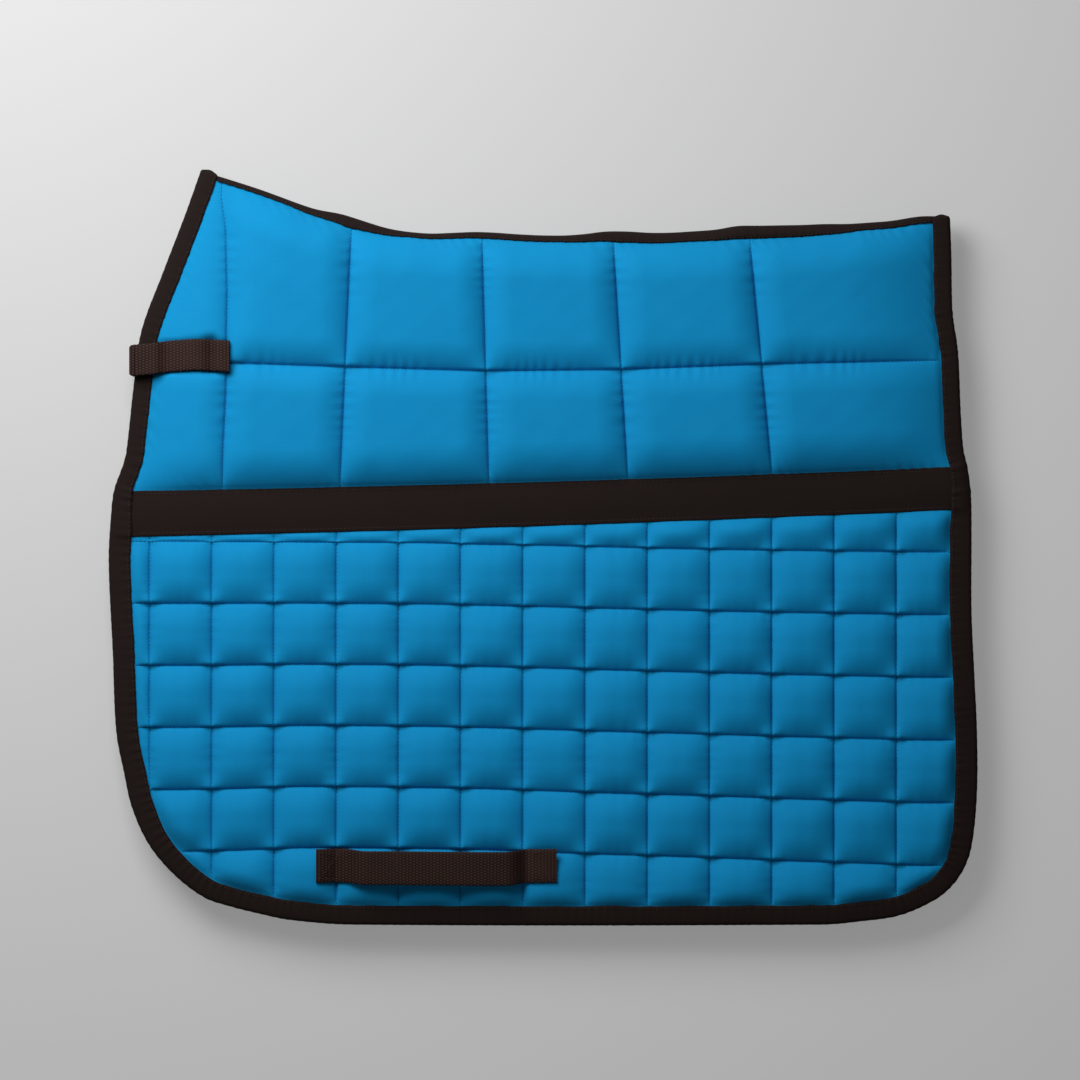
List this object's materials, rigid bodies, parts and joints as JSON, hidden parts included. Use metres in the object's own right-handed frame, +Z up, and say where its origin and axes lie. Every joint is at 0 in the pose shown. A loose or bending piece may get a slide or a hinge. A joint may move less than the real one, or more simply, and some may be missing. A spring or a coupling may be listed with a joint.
{
  "type": "dressage saddle pad",
  "caption": "Quilted dressage saddle pad, folded along its spine and laid flat, with bound edges, a centre band, girth loops and front keeper tabs",
  "frame": {"origin": "centre of the box, on the floor that the pad lies on", "axes": "+X from the horse's front to its rear, +Y up towards the spine, +Z up, off the left flap's outer face"},
  "size_m": [0.6422, 0.5585, 0.04],
  "materials": {
    "blue_cotton": "matt cotton twill",
    "wadding": "polyester wadding",
    "lining": "matt plain cotton",
    "binding_tape": "matt woven tape",
    "webbing": "ribbed webbing",
    "touch_and_close": "touch-and-close tape"
  },
  "bodies": {
    "right_flap": {"right_upper_cover": "blue_cotton", "right_upper_wadding": "wadding", "right_upper_lining": "lining", "right_skirt_cover": "blue_cotton", "right_skirt_wadding": "wadding", "right_skirt_lining": "lining", "right_centre_band": "binding_tape", "right_edge_binding": "binding_tape", "right_girth_loop": "webbing", "right_tab_base": "webbing", "right_tab_loop_patch": "touch_and_close"},
    "spine": {"spine_tape": "binding_tape"},
    "left_flap": {"left_upper_cover": "blue_cotton", "left_upper_wadding": "wadding", "left_upper_lining": "lining", "left_skirt_cover": "blue_cotton", "left_skirt_wadding": "wadding", "left_skirt_lining": "lining", "left_centre_band": "binding_tape", "left_edge_binding": "binding_tape", "left_girth_loop": "webbing", "left_tab_base": "webbing", "left_tab_loop_patch": "touch_and_close"},
    "left_tab": {"left_tab_free": "webbing", "left_tab_hook_patch": "touch_and_close"},
    "right_tab": {"right_tab_free": "webbing", "right_tab_hook_patch": "touch_and_close"}
  },
  "joints": [
    {"name": "spine_lower_fold", "type": "hinge", "parent": "right_flap", "child": "spine", "pos_m": [-0.2505, 0.28, 0.02], "axis": [-0.9982, 0.0599, 0], "range_deg": [0, 60], "deforming": ["spine_tape"]},
    {"name": "spine_upper_fold", "type": "hinge", "parent": "spine", "child": "left_flap", "pos_m": [-0.2505, 0.28, 0.02], "axis": [-0.9982, 0.0599, 0], "range_deg": [0, 60], "deforming": ["spine_tape"]},
    {"name": "left_tab_peel", "type": "hinge", "parent": "left_flap", "child": "left_tab", "pos_m": [-0.303, 0.1405, 0.0344], "axis": [0, -1, 0], "range_deg": [0, 170]},
    {"name": "right_tab_peel", "type": "hinge", "parent": "right_flap", "child": "right_tab", "pos_m": [-0.303, 0.1405, 0.0056], "axis": [0, 1, 0], "range_deg": [0, 170]}
  ]
}
